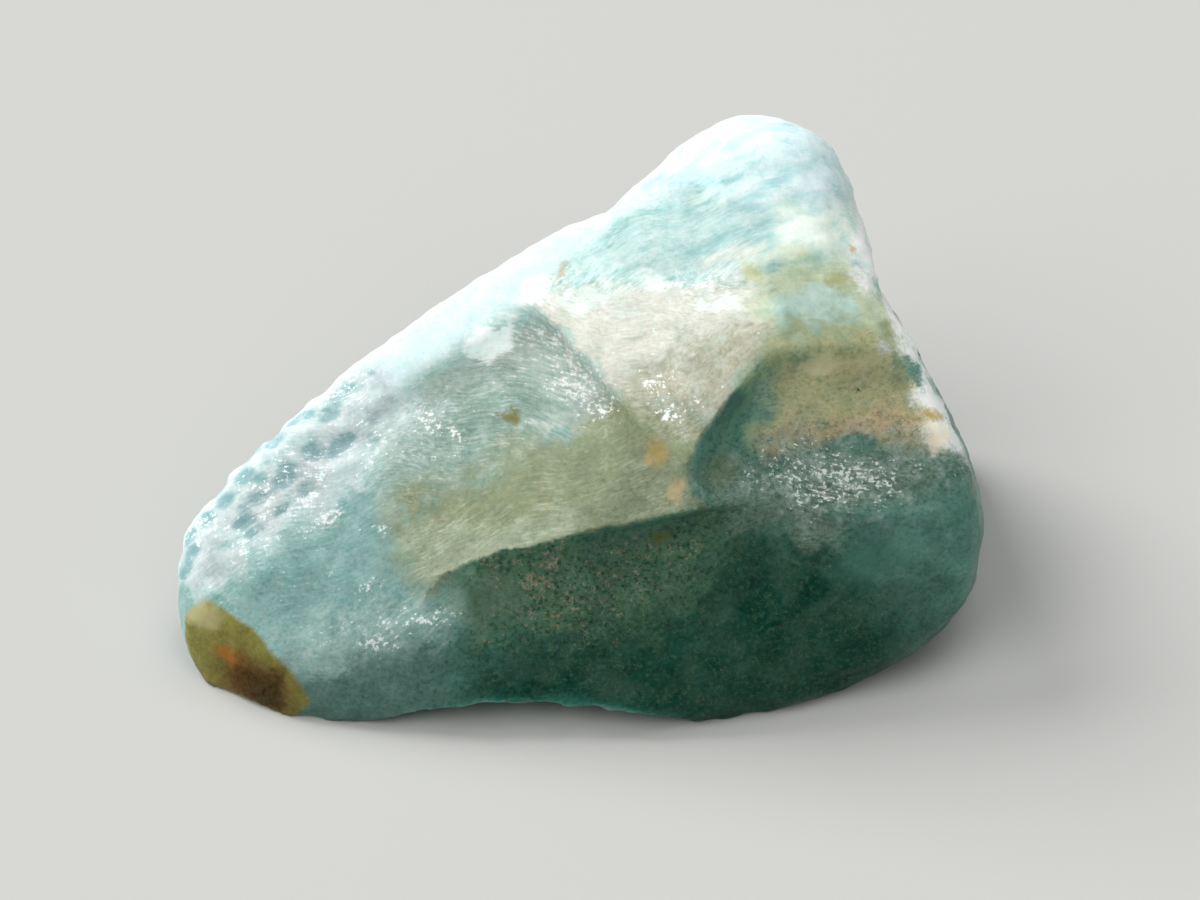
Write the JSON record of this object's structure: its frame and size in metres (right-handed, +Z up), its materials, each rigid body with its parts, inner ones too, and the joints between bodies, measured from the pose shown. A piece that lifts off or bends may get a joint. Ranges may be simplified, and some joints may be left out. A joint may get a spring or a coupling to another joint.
{
  "type": "rough grandidierite crystal",
  "caption": "Rough blue-green grandidierite pebble, a wedge with a rounded knob on its crest, crisp chipped hollows and a stained corner, lying on a worn flat side",
  "frame": {"origin": "centre of the bottom of the bounding box, on the surface that the crystal rests on", "axes": "+X along the pebble towards its fat end with the knob, +Y away from the worn front, +Z up"},
  "size_m": [0.019, 0.0112, 0.0099],
  "materials": {
    "grandidierite": "waterworn, translucent, glassy in fresh breaks"
  },
  "bodies": {
    "root": {"grandidierite_crystal": "grandidierite"}
  },
  "joints": []
}
